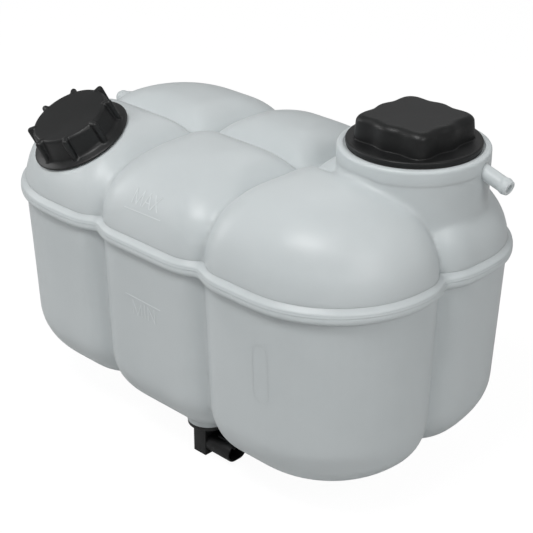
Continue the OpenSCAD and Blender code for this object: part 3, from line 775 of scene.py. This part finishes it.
def mark_strokes():
    """Lines of the two level marks and of the slot outline, as (x, z) points on the front."""
    low, high = 199.8, 209.3
    upper = [[(-24.2, 195.0), (16.4, 195.6)],
             [(-18.4, low), (-18.0, high), (-13.4, low), (-9.6, high), (-8.3, low)],
             [(-6.2, low), (-2.6, high), (1.4, low)], [(-4.7, 203.2), (-0.2, 203.2)],
             [(2.8, low), (9.6, high)], [(3.2, high), (10.2, low)]]
    low, high = 106.2, 118.2
    lower = [[(-23.0, 121.6), (17.0, 120.4)],
             [(-15.2, low), (-15.2, high), (-10.2, low), (-5.2, high), (-5.2, low)],
             [(-1.3, low), (-1.5, high)],
             [(2.4, low), (2.6, high), (10.0, low), (10.0, high)]]
    slot, slot_x, slot_r = [], 126, 7
    for end_z, start in ((125, 0), (90, 180)):
        for k in range(13):
            f = math.radians(start + 15 * k)
            slot.append((slot_x + slot_r * math.cos(f), end_z + slot_r * math.sin(f)))
    return upper, lower, [slot + slot[:1]]


def raised_lines(bm, lines, surface, width, height):
    """Thin ridges along the lines, laid on the surface behind them."""
    for line in lines:
        for a, b in zip(line, line[1:]):
            run = Vector(b) - Vector(a)
            half_run = run.length / 2 + width / 3
            steps = max(2, int(run.length / 1.5))
            base = bmesh.ops.create_grid(bm, x_segments=steps, y_segments=1, size=1)["verts"]
            faces = list({f for v in base for f in v.link_faces})
            top = bmesh.ops.extrude_face_region(bm, geom=faces, use_keep_orig=True)["geom"]
            top = [v for v in top if isinstance(v, bmesh.types.BMVert)]
            angle = math.atan2(run.y, run.x)
            for verts, wide, painted_lift in ((base, width, -0.4), (top, width * 0.5, height)):
                for v in verts:
                    u, w = v.co.x * half_run, v.co.y * wide / 2
                    x = (a[0] + b[0]) / 2 + u * math.cos(angle) - w * math.sin(angle)
                    z = (a[1] + b[1]) / 2 + u * math.sin(angle) + w * math.cos(angle)
                    hit, normal, _, _ = surface.ray_cast(Vector((x, -200, z)), Vector((0, 1, 0)))
                    v.co = hit + normal * painted_lift


def level_marks():
    upper_lines, lower_lines, slot_lines = mark_strokes()
    # The marks get a paler copy of the tank plastic: a painted highlight for light caught on the
    # raised lines.
    mark_highlight_finish = tank_plastic("mark_painted_highlight", 0.11, 0.0)
    for name, tank_half, lines, width, height, finish in (
            ("max_mark", tank_upper, upper_lines, 1.1, 0.22, mark_highlight_finish),
            ("min_mark", tank_lower, lower_lines, 1.1, 0.22, mark_highlight_finish),
            ("slot_outline", tank_lower, slot_lines, 0.6, 0.02, FINISHES["tank_plastic"])):
        skin = bmesh.new()
        skin.from_mesh(tank_half.data)
        bmesh.ops.scale(skin, vec=(1 / MM, 1 / MM, 1 / MM), verts=skin.verts)
        bmesh.ops.recalc_face_normals(skin, faces=skin.faces)
        surface = BVHTree.FromBMesh(skin)
        skin.free()
        bm = bmesh.new()
        raised_lines(bm, lines, surface, width, height)
        bmesh.ops.recalc_face_normals(bm, faces=bm.faces)
        mark = piece(name, bm, "tank_plastic", "tank", smooth=50)
        mark.data.materials[0] = finish


level_marks()


# ---------- looks of the CAD's own pieces ----------

for part in frame["record"]["subparts"]:
    cad = bpy.data.objects.get(part["node"])
    if cad is not None:
        cad.data.materials.clear()
        cad.data.materials.append(FINISHES[part["material_slot"]])
        shade(cad.data, 30)


# ---------- room, light and camera ----------

FLOOR_HALF, FLOOR_GAP = 6, 0.0005  # in metres
SENSOR_WIDTH = 36
PICTURE_PX, FOCAL_PX = 533, 1500
CAMERA_AT = Vector((800.3, -791.2, 498.0 + SEAM))
CAMERA_AZ, CAMERA_EL = math.radians(44.7), math.radians(26.18)


def white_room():
    """A white world that the camera sees at full strength and the object at less."""
    world = bpy.data.worlds.new("room")
    bpy.context.scene.world = world
    world.use_nodes = True
    tree = world.node_tree
    rays = tree.nodes.new("ShaderNodeLightPath")
    seen = tree.nodes.new("ShaderNodeMath")
    seen.operation = "MAXIMUM"
    tree.links.new(rays.outputs["Is Camera Ray"], seen.inputs[0])
    tree.links.new(rays.outputs["Is Transmission Ray"], seen.inputs[1])
    level = tree.nodes.new("ShaderNodeMapRange")
    level.inputs["To Min"].default_value = 0.30
    level.inputs["To Max"].default_value = 1.0
    tree.links.new(seen.outputs[0], level.inputs["Value"])
    background = tree.nodes["Background"]
    background.inputs["Color"].default_value = (1, 1, 1, 1)
    tree.links.new(level.outputs[0], background.inputs["Strength"])


def floor():
    """A floor that looks nearly white to the camera and takes a faint shadow."""
    bm = bmesh.new()
    bmesh.ops.create_grid(bm, x_segments=1, y_segments=1, size=FLOOR_HALF)
    made = add_object("floor", mesh_of("floor", bm))
    made.location.z = cad_box[0][2] - FLOOR_GAP
    f = Finish("floor")
    rays = f.node("ShaderNodeLightPath")
    white = f.node("ShaderNodeEmission", None, {"Color": rgb(1, 1, 1), "Strength": 1.09})
    f.set(Base_Color=rgb(0.62, 0.62, 0.62), Roughness=0.9, Specular_IOR_Level=0.1)
    shown = Value(f, rays.outputs["Is Camera Ray"]) * 0.88
    blend = f.node("ShaderNodeMixShader", None,
                   {0: shown, 1: f.shader.outputs[0], 2: white.outputs[0]})
    f.tree.links.new(blend.outputs[0], f.tree.nodes["Material Output"].inputs["Surface"])
    made.data.materials.append(f.material)


def lamp(name, spot, aim, size, power):
    light = bpy.data.lights.new(name, "AREA")
    light.shape = "RECTANGLE"
    light.size, light.size_y = size
    light.energy = power
    made = add_object(name, light)
    made.location = spot
    made.rotation_euler = (Vector(aim) - Vector(spot)).to_track_quat("-Z", "Y").to_euler()


def camera():
    back = Vector((math.sin(CAMERA_AZ) * math.cos(CAMERA_EL),
                   -math.cos(CAMERA_AZ) * math.cos(CAMERA_EL), math.sin(CAMERA_EL)))
    lens = bpy.data.cameras.new("camera")
    lens.sensor_width = SENSOR_WIDTH
    lens.lens = FOCAL_PX / PICTURE_PX * SENSOR_WIDTH
    lens.clip_end = 20
    made = add_object("camera", lens)
    made.location = CAMERA_AT * MM
    made.rotation_euler = back.to_track_quat("Z", "Y").to_euler()
    bpy.context.scene.camera = made


white_room()
floor()
camera()
lamp("key", spot=(0.15, -0.85, 1.55), aim=(0.0, 0.0, 0.15), size=(0.7, 0.35), power=13.5)
lamp("left", spot=(-1.3, -0.6, 0.7), aim=(0.0, 0.0, 0.15), size=(0.6, 0.6), power=4.2)
lamp("side", spot=(1.35, -0.25, 1.1), aim=(0.1, 0.0, 0.15), size=(0.5, 0.5), power=5.5)
lamp("back", spot=(-0.5, 1.0, 1.4), aim=(0.0, 0.0, 0.2), size=(0.9, 0.5), power=1.6)

scene = bpy.context.scene
scene.view_settings.view_transform = "Standard"
